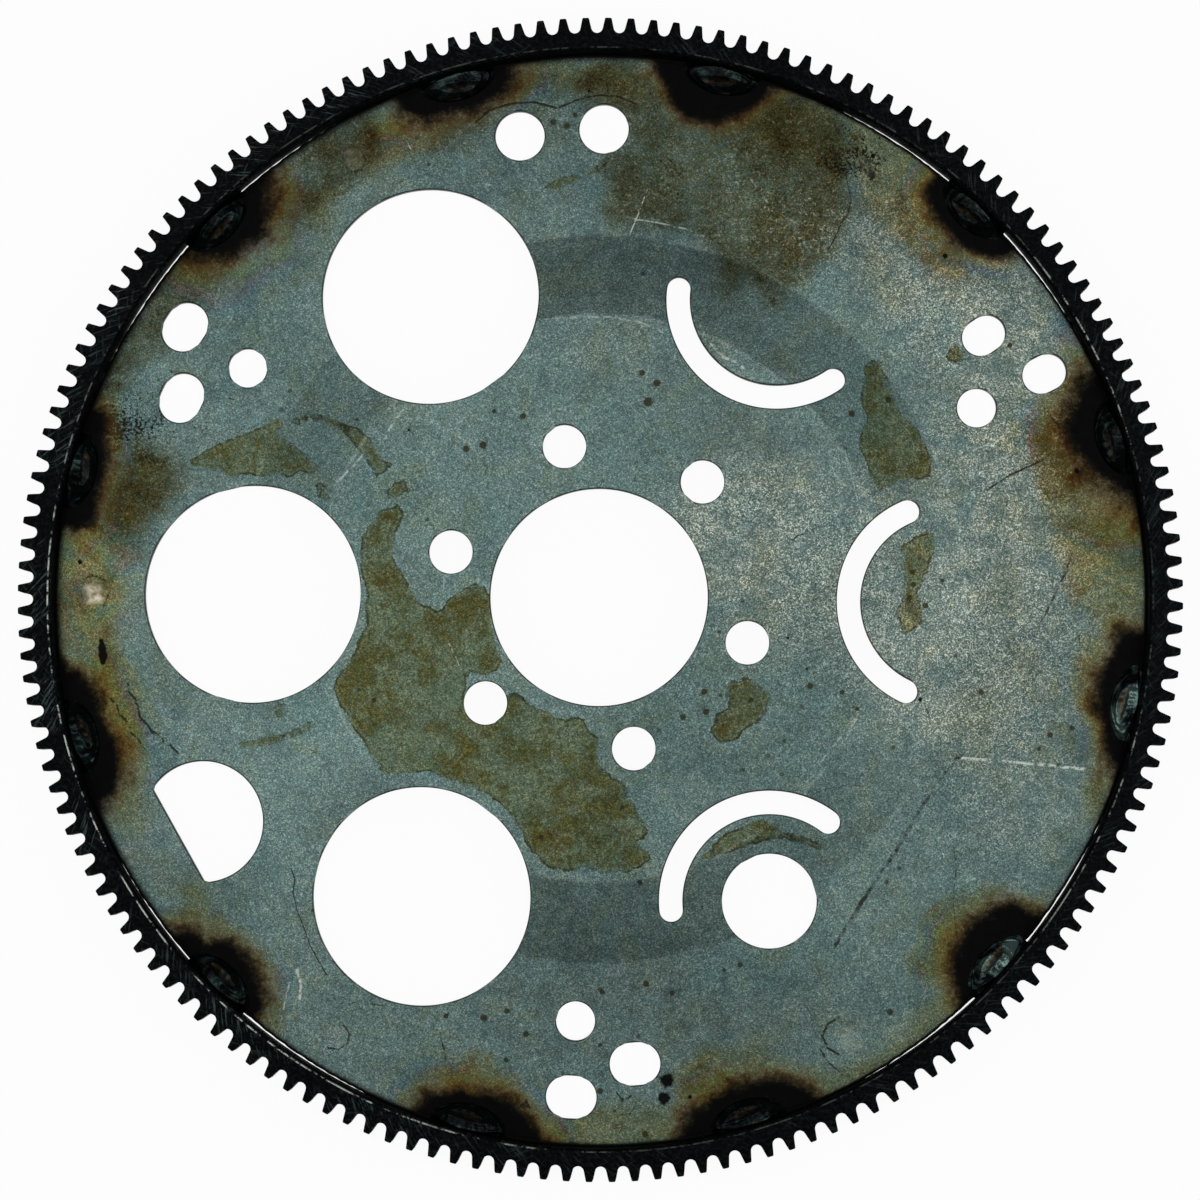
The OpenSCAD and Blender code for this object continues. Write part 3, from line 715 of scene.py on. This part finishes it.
def make_bead(i, rng, ripple_lift):
    """A rippled bead on the spindle that the part's source lays in the corner of sheet and ring."""
    arc_r = ((WELD_SPAN / 2) ** 2 + WELD_R ** 2) / (2 * WELD_R)
    low = math.hypot(WELD_SINK, WELD_SET) + 0.02
    s_max = math.sqrt(arc_r ** 2 - (low - WELD_R + arc_r) ** 2)
    s = s_max * np.sin(np.linspace(-0.5, 0.5, BEAD_LONG) * math.pi)
    rho = WELD_R - arc_r + np.sqrt(arc_r ** 2 - s ** 2)
    a0 = np.arcsin(np.clip(WELD_SINK / rho, -1, 1))
    a1 = math.pi - np.arccos(np.clip(WELD_SET / rho, -1, 1))
    S, T = np.meshgrid(s, np.linspace(0, 1, BEAD_ROUND), indexing="ij")
    ang = a0[:, None] + (a1 - a0)[:, None] * T
    side = np.minimum(np.minimum(T, 1 - T) / 0.16, 1)
    calm = side * np.clip((s_max - np.abs(S)) / 2.2, 0, 1)

    # Ripples run round the bead, inside a raised lip, and a narrow crater is left in the middle
    way = rng.choice([-1, 1])
    phase = rng.uniform(0, 6.28)
    wave = 0.35 * np.sin(S * 0.9 + phase) + 0.25 * np.sin(S * 1.9 * way + 5 * T)
    oval = np.hypot(S / s_max, (T - 0.5) / 0.52)
    ripple = ripple_lift * np.sin(oval * 2 * math.pi * 6.5 + wave + phase) * np.clip(oval * 1.6, 0.2, 1)
    scales = 0.06 * np.sin(way * S * 2.6 - 9 * (T - 0.5) ** 2 + wave)
    crater_s = rng.uniform(-2.0, 2.0)
    rad = np.hypot((S - crater_s) / 4.6, (T - 0.50 - 0.012 * way * S) / 0.13)
    crater = -0.55 * np.exp(-rad ** 4) + 0.18 * np.exp(-((rad - 1.3) / 0.3) ** 2)
    lip = 0.22 * np.exp(-((oval - 0.88) / 0.07) ** 2)
    k1, k2 = rng.uniform(0, 6, 2)
    uneven = 0.10 * np.sin(0.7 * S + k1) * np.sin(4.1 * T + 1.0)
    uneven = uneven + 0.05 * np.sin(2.3 * S + k2) * np.sin(9 * T + 2.0)
    R = rho[:, None] + calm * (ripple + scales + crater + lip + uneven - 0.10)
    u = np.maximum(WELD_SET + R * np.cos(ang), 0.0)
    z = np.maximum(SHEET - WELD_SINK + R * np.sin(ang), SHEET)

    # A skirt carries the edge of the bead a little into the sheet, so no gap shows under it
    def skirted(v):
        return np.column_stack([v[:, 0], v, v[:, 0]])
    u = np.column_stack([u[:, 0] - 0.05, u, np.zeros(BEAD_LONG)])
    foot = np.full(BEAD_LONG, SHEET - 0.25)
    z = np.column_stack([foot, z, foot])

    # The bead is bent round the axis so that its outer edge follows the bore
    radius = BORE_R - u
    turn = math.radians(WELD_ANGLES[i]) + skirted(S) / BORE_R
    verts = np.stack([radius * np.cos(turn), radius * np.sin(turn), z], -1).reshape(-1, 3)
    n, last = BEAD_ROUND + 2, BEAD_LONG - 1
    faces = [(k, k + 1, k + n + 1, k + n) for p in range(last) for k in range(p * n, p * n + n - 1)]
    faces += [(p * n, (p + 1) * n, (p + 2) * n - 1, (p + 1) * n - 1) for p in range(last)]
    faces += [tuple(range(n - 1, -1, -1)), tuple(range(last * n, (last + 1) * n))]
    slag = np.exp(-(rad * 0.85) ** 3)
    return verts, faces, {"slag": skirted(slag).ravel(), "lip": skirted(side).ravel()}


# Materials
def srgb(*levels):
    """Colour for a socket, from red, green and blue levels of 0 to 255."""
    linear = [c / 255 / 12.92 if c <= 10.3 else ((c / 255 + 0.055) / 1.055) ** 2.4 for c in levels]
    return (*linear, 1.0)


class Value:
    """Output of a node, which can be reckoned with."""

    def __init__(self, graph, socket):
        self.graph, self.socket = graph, socket

    def __add__(self, other):
        return self.graph.math("ADD", self, other)

    def __sub__(self, other):
        return self.graph.math("SUBTRACT", self, other)

    def __mul__(self, other):
        return self.graph.math("MULTIPLY", self, other)

    def most(self, other):
        return self.graph.math("MAXIMUM", self, other)

    def swing(self, width):
        """Noise, made to swing about 0."""
        return (self - 0.5) * width

    def fade(self, lo, hi, a=0.0, b=1.0, kind="SMOOTHSTEP"):
        """From a at lo to b at hi."""
        inputs = {"Value": self, "From Min": lo, "From Max": hi, "To Min": a, "To Max": b}
        return self.graph.out("MapRange", inputs, "Result", interpolation_type=kind)


class Graph:
    """Short words for the nodes of one material or world, and the colour that has been laid so far."""

    def __init__(self, block):
        block.use_nodes = True
        self.block, self.tree, self.color = block, block.node_tree, None
        self.tree.nodes.clear()

    def node(self, kind, inputs, **props):
        n = self.tree.nodes.new("ShaderNode" + kind)
        for key, value in props.items():
            setattr(n, key, value)
        for key, value in inputs.items():
            if isinstance(value, Value):
                self.tree.links.new(value.socket, n.inputs[key])
            else:
                n.inputs[key].default_value = value
        return n

    def out(self, kind, inputs, key=0, **props):
        return Value(self, self.node(kind, inputs, **props).outputs[key])

    def outs(self, kind, inputs, keys):
        n = self.node(kind, inputs)
        return [Value(self, n.outputs[key]) for key in keys]

    def math(self, op, a, b=0.0, clamp=False):
        return self.out("Math", {0: a, 1: b}, operation=op, use_clamp=clamp)

    def coords(self):
        """Places on the piece, for the textures, and the distance from its axis."""
        self.co = self.out("TexCoord", {}, "Object")
        flat = self.out("VectorMath", {0: self.co, 1: (1, 1, 0)}, operation="MULTIPLY")
        return self.out("VectorMath", {0: flat}, "Value", operation="LENGTH")

    def attr(self, name):
        return self.out("Attribute", {}, "Fac", attribute_name=name)

    def noise(self, scale, detail=2.0, rough=0.5, warp=0.0, co=None):
        inputs = {"Vector": co or self.co, "Scale": scale, "Detail": detail, "Roughness": rough,
                  "Distortion": warp}
        return self.out("TexNoise", inputs, "Fac")

    def cells(self, scale, key):
        return self.out("TexVoronoi", {"Vector": self.co, "Scale": scale}, key)

    def ramp(self, v, *stops):
        """Colours by value: each stop has its place, then red, green and blue levels or one linear grey."""
        n = self.node("ValToRGB", {0: v})
        els = n.color_ramp.elements
        while len(els) < len(stops):
            els.new(0.5)
        for e, (at, *col) in zip(els, stops):
            e.position = at
            e.color = srgb(*col) if len(col) == 3 else (*col, *col, *col, 1.0)
        return Value(self, n.outputs[0])

    def mix(self, share, a, b, blend="MIX"):
        return self.out("Mix", {"Factor": share, 6: a, 7: b}, 2, data_type="RGBA", blend_type=blend)

    def lay(self, share, *col):
        """Cover the colour so far with another one."""
        self.color = self.mix(share, self.color, srgb(*col))

    def tint(self, share, *col):
        """Multiply the colour so far by another one."""
        self.color = self.mix(share, self.color, srgb(*col), "MULTIPLY")

    def finish(self, rough, height, strength, depth, metallic, **more):
        bump = {"Strength": strength, "Distance": depth, "Height": height}
        inputs = {"Base Color": self.color, "Roughness": rough, "Metallic": metallic,
                  "Normal": self.out("Bump", bump, "Normal")}
        inputs.update({k.replace("_", " "): v for k, v in more.items()})
        self.node("OutputMaterial", {"Surface": self.out("BsdfPrincipled", inputs)})
        return self.block


def disc_material():
    g = Graph(bpy.data.materials.new("stained_sheet_steel"))
    radius = g.coords()
    grit = g.out("SeparateColor", {0: g.cells(3300, "Color")})
    fine, grain, pepper = g.noise(2300, 2, 0.6), g.noise(430, 3, 0.6), g.noise(760, 3, 0.7)
    mottle, cloud = g.noise(120, 4, 0.6, 0.4), g.noise(24, 4, 0.55, 0.3)
    tide, drift = g.noise(150, 4, 0.6, 0.5), g.noise(62, 5, 0.64, 0.6)
    light_and_glint, burn = g.attr("light_and_glint"), g.attr("burn")

    # Bare sheet: a cool grey grit, with painted light on it: brighter and warmer grit in soft patches, most
    # of them at the right
    speck = grit * 0.44 + (fine * 0.42 + grain * 0.14)
    dull = g.ramp(speck, (0.24, 64, 81, 80), (0.38, 84, 104, 101), (0.50, 96, 118, 115),
                  (0.62, 110, 132, 127), (0.80, 168, 184, 177))
    lit_grit = g.ramp(speck, (0.24, 62, 76, 73), (0.38, 91, 105, 99), (0.50, 115, 129, 121),
                    (0.62, 148, 158, 147), (0.74, 226, 228, 212))
    bare_and_lit = light_and_glint.fade(0.05, 0.95) * (mottle * 0.6 + cloud * 0.4).fade(0.36, 0.58, 0.15, 1.1)
    g.color = g.mix(bare_and_lit, dull, lit_grit)
    g.tint(cloud.fade(0.42, 0.66, 0.0, 0.5), 208, 222, 226)
    g.tint(mottle.fade(0.54, 0.72, 0.0, 0.35), 246, 232, 204)
    warmth = g.noise(70, 5, 0.6, 0.8)
    g.tint(warmth.fade(0.50, 0.64, 0.0, 0.6), 255, 246, 226)
    g.tint(warmth.fade(0.48, 0.36, 0.0, 0.6), 236, 250, 255)
    # Random tone patches, and the blobs of painted light and shade that darken or lighten the face
    patches = (mottle * 0.6 + g.noise(300, 3, 0.6, 0.4) * 0.4).fade(0.36, 0.64, -0.16, 0.13)
    g.color = g.mix(1.0, g.color, g.attr("shade_and_tone") + patches + 1.0, "MULTIPLY")

    # Brown film with soft, broken edges and fine dark specks
    film = g.attr("film") + (drift.swing(12.0) + mottle.swing(4.0))
    veil = film.fade(-6.5, 2.5) * tide.fade(0.30, 0.60, 0.6, 1.0) * pepper.fade(0.32, 0.60, 0.65, 1.0)
    g.tint(veil * 0.96, 176, 156, 110)
    g.tint(veil * cloud.fade(0.44, 0.60, 0.0, 0.8), 196, 170, 118)
    g.lay(veil * (pepper * 0.7 + mottle * 0.3).fade(0.56, 0.62, 0.0, 0.85), 18, 17, 12)
    g.lay(veil * pepper.fade(0.60, 0.68, 0.0, 0.25), 176, 176, 158)

    # Dark flecks, most of them in the film, and painted glints: light flecks in the patches of painted light
    dark_share = veil * 0.62 + (cloud * 0.5 + tide * 0.5).fade(0.50, 0.62, 0.06, 0.34)
    g.lay(g.noise(1250, 2, 0.55).fade(0.625, 0.675) * dark_share, 22, 24, 20)
    painted_glints = g.noise(940, 2, 0.5).fade(0.635, 0.685) * mottle.fade(0.40, 0.58, 0.3, 1.0)
    g.lay(painted_glints * light_and_glint.fade(0.0, 0.9, 0.14, 0.48), 222, 226, 212)

    # Golden film, with darker streaks
    gold = g.attr("straw") + (drift.swing(11.0) + mottle.swing(3.0))
    gilt = gold.fade(-4.5, 3.0) * pepper.fade(0.30, 0.58, 0.6, 1.0)
    g.tint(gilt * 0.85, 255, 226, 168)
    g.tint(gilt * (drift * 0.5 + tide * 0.5).fade(0.50, 0.62, 0.0, 0.7), 196, 168, 116)

    # Oil stains: a crisp olive tint, browner where it pooled, with a dark tide line
    stain = g.attr("stain") + (tide.swing(4.2) + grain.swing(1.6))
    within = stain.fade(0.0, 1.0)
    g.tint(stain.fade(-0.3, cloud.fade(0.44, 0.60, 0.2, 1.8), 0.0, 0.95), 230, 219, 182)
    pool = stain.fade(0.0, 2.0) * (drift * 0.55 + tide * 0.45).fade(0.43, 0.58)
    g.tint(pool * 0.85, 208, 182, 118)
    g.lay(within * pepper.fade(0.55, 0.64, 0.0, 0.55), 54, 50, 28)
    g.lay(within * pepper.fade(0.42, 0.34, 0.0, 0.35), 124, 134, 112)
    rusty = stain.fade(0.4, 2.0) * (mottle * 0.6 + pepper * 0.4).fade(0.56, 0.64)
    g.lay(rusty * 0.6, 70, 58, 26)
    tide_line = stain.fade(-0.2, 0.15) * stain.fade(1.0, 0.3) * mottle.fade(0.40, 0.58)
    g.tint(tide_line * 0.9, 136, 118, 76)

    # Grime in crisp specks, and small dots strewn over the face
    grime = g.attr("grime") + (tide.swing(1.1) + g.noise(1100, 3, 0.7).swing(2.3))
    g.lay(grime.fade(0.84, 0.96, 0.0, 0.94), 10, 11, 9)
    dots = g.cells(150, "Distance").fade(0.12, 0.07) * g.noise(30, 2).fade(0.50, 0.60, 0.0, 0.7)
    g.lay(dots, 38, 36, 24)

    # Light lines along the two bends: wear, and a painted highlight where the bends catch the light
    bend_wear_and_highlight = (mottle * 0.5 + fine * 0.5).fade(0.47, 0.58)
    for r, share in ((HUB_R + 0.8, 0.25), (RIM_R - 0.5, 0.14)):
        d = g.math("ABSOLUTE", radius - r * MM)
        g.lay(d.fade(0.8 * MM, 0.1 * MM, 0.0, share) * bend_wear_and_highlight, 186, 196, 186)

    # Thin temper colours, in drifting bands of straw, purple and blue
    bands = g.math("FRACT", g.noise(48, 3, 0.55, 0.5) * 4.0)
    hues = g.ramp(bands, (0.0, 255, 244, 214), (0.35, 255, 220, 198), (0.55, 236, 216, 226),
                  (0.75, 204, 232, 244), (1.0, 255, 244, 214))
    g.color = g.mix(g.attr("temper").fade(0.12, 0.9, 0.0, 0.9), g.color, hues, "MULTIPLY")

    # Temper bands that follow the heat of the welds: gold, green, purple, blue and straw from the inside out
    warm = (burn + (drift.swing(2.6) + cloud.swing(2.4))).fade(-2.9, -0.3, kind="LINEAR")
    hues = g.ramp(warm, (0.0, 255, 255, 255), (0.24, 255, 246, 222), (0.42, 206, 230, 250),
                  (0.56, 244, 210, 236), (0.68, 226, 238, 190), (0.86, 255, 216, 150))
    g.color = g.mix(g.noise(34, 3, 0.5).fade(0.40, 0.60, 0.05, 0.85), g.color, hues, "MULTIPLY")

    # Brown spots and light scuffs, some of them also a painted highlight along the hub bend
    g.lay((g.attr("brown") + pepper.swing(0.8)).fade(0.15, 0.6, 0.0, 0.9), 44, 42, 19)
    gaps = (grain * 0.6 + pepper * 0.4).fade(0.46, 0.56)
    g.lay(g.attr("scuff").fade(0.0, 0.8) * gaps, 190, 198, 190)

    # Heat of the welds: black scale, then dark brown, gold and a trace of straw
    heat = burn + (drift.swing(2.0) + tide.swing(1.0)) + (pepper.swing(0.9) + fine.swing(0.5))
    heat = heat.fade(-2.0, 1.0, kind="LINEAR")
    scorch = g.ramp(heat, (0.16, 122, 118, 82), (0.34, 98, 86, 46), (0.48, 72, 49, 18), (0.58, 44, 27, 9),
                    (0.68, 18, 14, 8), (0.80, 4, 4, 4))
    share = g.ramp(heat, (0.18, 0.0), (0.38, 0.22), (0.50, 0.62), (0.60, 0.90), (0.72, 1.0))
    g.color = g.mix(share, g.color, scorch)

    # Black spots, cracks and drawn lines, over the heat marks
    g.lay((g.attr("black") + pepper.swing(1.0)).fade(0.1, 0.85, 0.0, 0.98), 5, 4, 3)
    broken = g.attr("crack") * 1.1 + (grain.swing(1.3) + mottle.swing(1.2))
    g.lay(broken.fade(0.24, 0.72, 0.0, 0.88), 28, 26, 18)

    # Painted shade in the corner at the ring, polished press marks with painted highlights, and painted shade
    # as a dark line on the rolled edges
    g.lay((g.attr("corner") + tide.swing(0.5)).fade(0.10, 0.95, 0.0, 0.96), 6, 6, 5)
    polish_highlight_share = g.attr("polish_and_highlight")
    # Polish and painted highlight: a light colour laid in the two lobes
    g.lay(polish_highlight_share * grain.fade(0.36, 0.60, 0.45, 1.0), 206, 198, 174)
    # Painted shade: a dark line on the rolled and the back edges
    g.lay(g.attr("edge_shade").fade(0.0, 1.0, 0.0, 0.8), 34, 32, 32)

    rough = g.math("SUBTRACT", grain * 0.30 + 0.28 + heat.fade(0.5, 0.72) * 0.06, polish_highlight_share * 0.16, clamp=True)
    return g.finish(rough, fine * 0.9 + grain * 0.35, 0.30, 0.00012, 0.55, Specular_IOR_Level=0.06)


# Radius in metres at which the scratches of the ring have their true size
HATCH_R = 0.1625


def ring_material():
    g = Graph(bpy.data.materials.new("black_oxide_ring_steel"))
    radius = g.coords()
    x, y, z = g.outs("SeparateXYZ", {0: g.co}, range(3))
    turn = g.math("ARCTAN2", y, x)
    along = turn * HATCH_R

    def hatch(slant, stretch, scale):
        inputs = {0: (along + radius * slant) * stretch, 1: radius - along * slant, 2: z}
        return g.noise(scale, 3, 0.6, co=g.out("CombineXYZ", inputs))

    def near(degrees, *fade):
        """A share that is greatest at one angle of the ring."""
        return g.math("COSINE", turn - math.radians(degrees)).fade(*fade)
    marks, other = hatch(0.9, 0.10, 1300).fade(0.55, 0.66), hatch(-0.55, 0.12, 900).fade(0.57, 0.70)
    patch = g.noise(55, 4, 0.6).fade(0.36, 0.64)
    scuff = marks.most(other * 0.6) * near(180, -0.5, 0.9, 0.35, 1.0) * patch
    grain = g.noise(900, 3, 0.65)
    g.color = g.ramp(grain, (0.34, 4, 5, 6), (0.52, 9, 11, 12), (0.72, 22, 26, 26))
    g.lay(scuff * 0.7, 66, 76, 76)

    # Bright dashes along the front edge of the bore: worn bare metal and a painted glint, kept to three arcs
    # where the light catches it, broken up, with a trace of rust
    d = g.math("ABSOLUTE", radius - (BORE_R + BORE_BEVEL + 0.08) * MM)
    edge = d.fade(0.34 * MM, 0.08 * MM) * z.fade((RING_W - 0.5) * MM, (RING_W - 0.15) * MM)
    glint_arcs = near(215, 0.50, 0.90, 0.10, 1.0).most(near(336, 0.96, 0.99, 0.0, 0.5))
    edge = edge * glint_arcs.most(near(27, 0.97, 0.99, 0.0, 0.7))
    g.lay(edge * g.noise(230, 4, 0.7).fade(0.47, 0.60) * 0.9, 196, 200, 192)
    g.lay(edge * g.noise(38, 4, 0.6).fade(0.55, 0.68) * 0.5, 72, 48, 26)

    # Polish and a painted glint on the tooth tips
    tip_polish_and_glint = radius.fade((TIP_R - 0.5) * MM, (TIP_R - 0.05) * MM) * g.noise(240, 4, 0.7).fade(0.40, 0.62)
    g.lay(tip_polish_and_glint * 0.35, 52, 57, 58)
    rough = g.math("SUBTRACT", grain * 0.30 + 0.30, scuff * 0.06, clamp=True)
    return g.finish(rough, scuff * 0.8 + grain, 0.4, 0.00012, 0.6, Specular_IOR_Level=0.06,
                    Specular_Tint=(0.2, 0.2, 0.2, 1))


def weld_material(name, silver, slag_share):
    g = Graph(bpy.data.materials.new(name))
    g.coords()
    fine, patch = g.noise(1300, 3, 0.6), g.noise(260, 4, 0.6, 0.5)
    g.color = g.ramp(patch, (0.38, 4, 6, 6), (0.54, 9, 13, 13), (0.70, 34, 48, 47))
    if silver > 0:
        g.lay(g.noise(150, 4, 0.6).fade(0.42, 0.60, 0.0, silver), 96, 118, 112)
    lip = g.attr("lip")
    # Painted highlight: a lighter band of colour along the bead's raised lip
    lip_highlight = lip.fade(0.25, 0.6) * lip.fade(0.98, 0.6) * patch.fade(0.44, 0.62)
    g.lay(lip_highlight * (0.2 + 0.4 * silver), 74, 90, 86)
    slag = (g.attr("slag") + patch.swing(1.1)).fade(0.42, 0.72)
    crust = g.ramp(g.noise(700, 4, 0.65), (0.36, 18, 13, 9), (0.52, 62, 42, 24), (0.68, 118, 86, 50))
    g.color = g.mix(slag * slag_share, g.color, crust)
    rough = g.math("ADD", fine * 0.16, slag * 0.22 + 0.10, clamp=True)
    return g.finish(rough, fine + patch * 1.5, 0.4, 0.0002, 0.85, Specular_IOR_Level=0.15)


# Build the pieces
disc_mat, ring_mat = disc_material(), ring_material()
dark_mat = weld_material("dark_weld_scale", 0.0, 0.14)
silvery_mat = weld_material("silvery_weld_scale", 0.7, 0.55)

disc = make_disc()
disc.data.materials.append(disc_mat)
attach(disc, "root")
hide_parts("disc")

ring_verts, ring_faces = make_ring()
ring = mesh_object("ring_gear_160", ring_verts, ring_faces)
ring.data.materials.append(ring_mat)
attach(ring, "root")
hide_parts("ring_gear")

rng = np.random.default_rng(BEAD_SEED)
for i in range(12):
    silvery = i in SILVERY_WELDS
    verts, faces, attrs = make_bead(i, rng, 0.09 if silvery else 0.025)
    bead = mesh_object("weld_%02d" % (i + 1), verts, faces, attrs)
    bead.data.materials.append(silvery_mat if silvery else dark_mat)
    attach(bead, "root")
    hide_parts("weld_bead_%02d" % (i + 1))

# Floor and world: white to the camera and in reflections, with the part's own shadow left in the floor
FLOOR_HALF, FLOOR_Z, FLOOR_WHITE = 4, -0.0002, 0.95
pale = Graph(bpy.data.materials.new("pale_floor"))
rays = ["Is %s Ray" % kind for kind in ("Camera", "Glossy", "Transmission")]
direct, glossy, clear = pale.outs("LightPath", {}, rays)
matt = pale.out("BsdfDiffuse", {"Color": (0.86, 0.86, 0.86, 1)})
white = pale.out("Emission", {})
blend = {0: direct.most(glossy).most(clear) * FLOOR_WHITE, 1: matt, 2: white}
pale.node("OutputMaterial", {"Surface": pale.out("MixShader", blend)})
corners = [(x * FLOOR_HALF, y * FLOOR_HALF, FLOOR_Z) for x, y in ((-1, -1), (1, -1), (1, 1), (-1, 1))]
floor_mesh = bpy.data.meshes.new("floor")
floor_mesh.from_pydata(corners, [], [(0, 1, 2, 3)])
floor_mesh.materials.append(pale.block)
floor = bpy.data.objects.new("floor", floor_mesh)
scene.collection.objects.link(floor)

studio = Graph(bpy.data.worlds.new("studio"))
scene.world = studio.block
direct, = studio.outs("LightPath", {}, ["Is Camera Ray"])
dim = studio.out("Background", {"Color": (0.95, 1.0, 1.0, 1), "Strength": 0.26})
white = studio.out("Background", {"Color": (1, 1, 1, 1)})
pick = studio.out("MixShader", {0: direct, 1: dim, 2: white})
studio.node("OutputWorld", {"Surface": pick})


def softbox(name, at, size, watts):
    lamp = bpy.data.lights.new(name, "AREA")
    lamp.shape = "RECTANGLE"
    lamp.size, lamp.size_y = size
    lamp.energy = watts
    ob = bpy.data.objects.new(name, lamp)
    ob.location = at
    ob.rotation_mode = "QUATERNION"
    ob.rotation_quaternion = (-Vector(at)).to_track_quat("-Z", "Y")
    ob.visible_camera = False
    scene.collection.objects.link(ob)


softbox("softbox_right", (1.20, -0.05, 1.55), (0.8, 1.6), 8.0)
softbox("softbox_left", (-1.15, -0.15, 1.55), (0.8, 1.6), 7.0)
softbox("strip_above", (0.1, 0.26, 1.80), (2.6, 0.36), 8.0)

cam_data = bpy.data.cameras.new("camera")
cam = bpy.data.objects.new("camera", cam_data)
scene.collection.objects.link(cam)
cam_data.sensor_width = SENSOR
cam_data.lens = FOCAL * SENSOR / PHOTO_W
cam_data.clip_start, cam_data.clip_end = 0.05, 50
cam.matrix_world = Matrix.Translation(CAM_AT * MM) @ CAM_AXES.to_4x4()
scene.camera = cam
scene.view_settings.view_transform = "Standard"
